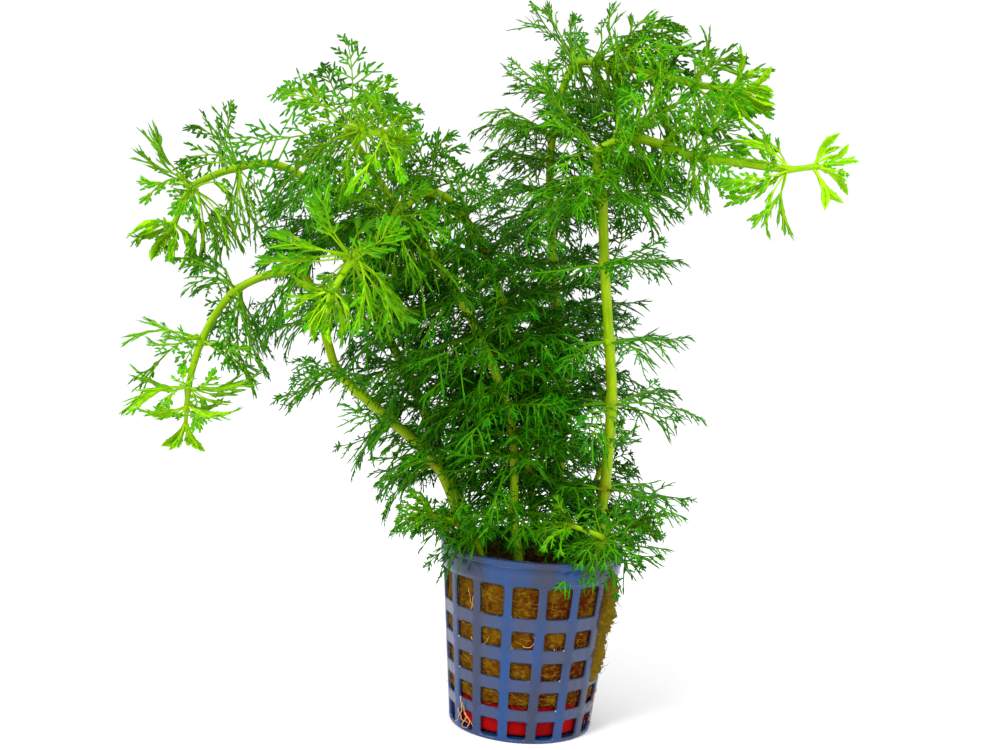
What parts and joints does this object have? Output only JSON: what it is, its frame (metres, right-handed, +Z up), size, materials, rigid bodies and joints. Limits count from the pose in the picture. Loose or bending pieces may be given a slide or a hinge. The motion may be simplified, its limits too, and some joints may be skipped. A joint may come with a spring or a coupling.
{
  "type": "limnophila heterophylla",
  "caption": "Potted aquarium stem plant with finely cut leaves in whorls on upright and arching stems, rooted in rock wool in a slotted net pot.",
  "frame": {"origin": "middle of the pot's underside, on the surface that it stands on", "axes": "+Z up along the pot's axis, -Y towards the viewer of the picture, +X to the viewer's right"},
  "size_m": [0.1958, 0.1155, 0.2028],
  "materials": {
    "pot": "worn semi-gloss blue-grey plastic",
    "pad": "dense red foam",
    "wool": "ochre-brown wet mineral fibre",
    "stem": "smooth light green, slightly shiny",
    "leaf": "soft green, thin and slightly shiny",
    "young_leaf": "soft bright green, thin and slightly shiny"
  },
  "bodies": {
    "root": {"arching_growing_tip": "young_leaf", "arching_stem": "stem", "arching_whorl_1": "leaf", "arching_whorl_2": "leaf", "arching_whorl_3": "leaf", "arching_whorl_4": "leaf", "arching_whorl_5": "leaf", "arching_whorl_6": "leaf", "back_right_shoot": "leaf", "back_shoot": "leaf", "front_left_shoot": "leaf", "front_right_shoot": "leaf", "lower_left_growing_tip": "young_leaf", "lower_left_stem": "stem", "lower_left_whorl_1": "leaf", "lower_left_whorl_2": "leaf", "lower_left_whorl_3": "leaf", "lower_left_whorl_4": "leaf", "lower_left_whorl_5": "leaf", "lower_left_whorl_6": "leaf", "middle_growing_tip": "young_leaf", "middle_stem": "stem", "middle_whorl_1": "leaf", "middle_whorl_2": "leaf", "middle_whorl_3": "leaf", "middle_whorl_4": "leaf", "middle_whorl_5": "leaf", "middle_whorl_6": "leaf", "middle_whorl_7": "leaf", "net_pot": "pot", "red_base_pad": "pad", "right_back_growing_tip": "young_leaf", "right_back_stem": "stem", "right_back_whorl_1": "leaf", "right_back_whorl_2": "leaf", "right_back_whorl_3": "leaf", "right_back_whorl_4": "leaf", "right_back_whorl_5": "leaf", "right_back_whorl_6": "leaf", "right_back_whorl_7": "leaf", "right_front_growing_tip": "young_leaf", "right_front_stem": "stem", "right_front_whorl_1": "leaf", "right_front_whorl_2": "leaf", "right_front_whorl_3": "leaf", "right_front_whorl_4": "leaf", "right_front_whorl_5": "leaf", "right_front_whorl_6": "leaf", "right_front_whorl_7": "leaf", "right_front_whorl_8": "leaf", "right_shoot": "leaf", "rockwool_plug": "wool", "upper_left_growing_tip": "young_leaf", "upper_left_stem": "stem", "upper_left_whorl_1": "leaf", "upper_left_whorl_2": "leaf", "upper_left_whorl_3": "leaf", "upper_left_whorl_4": "leaf", "upper_left_whorl_5": "leaf", "upper_left_whorl_6": "leaf"}
  },
  "joints": []
}
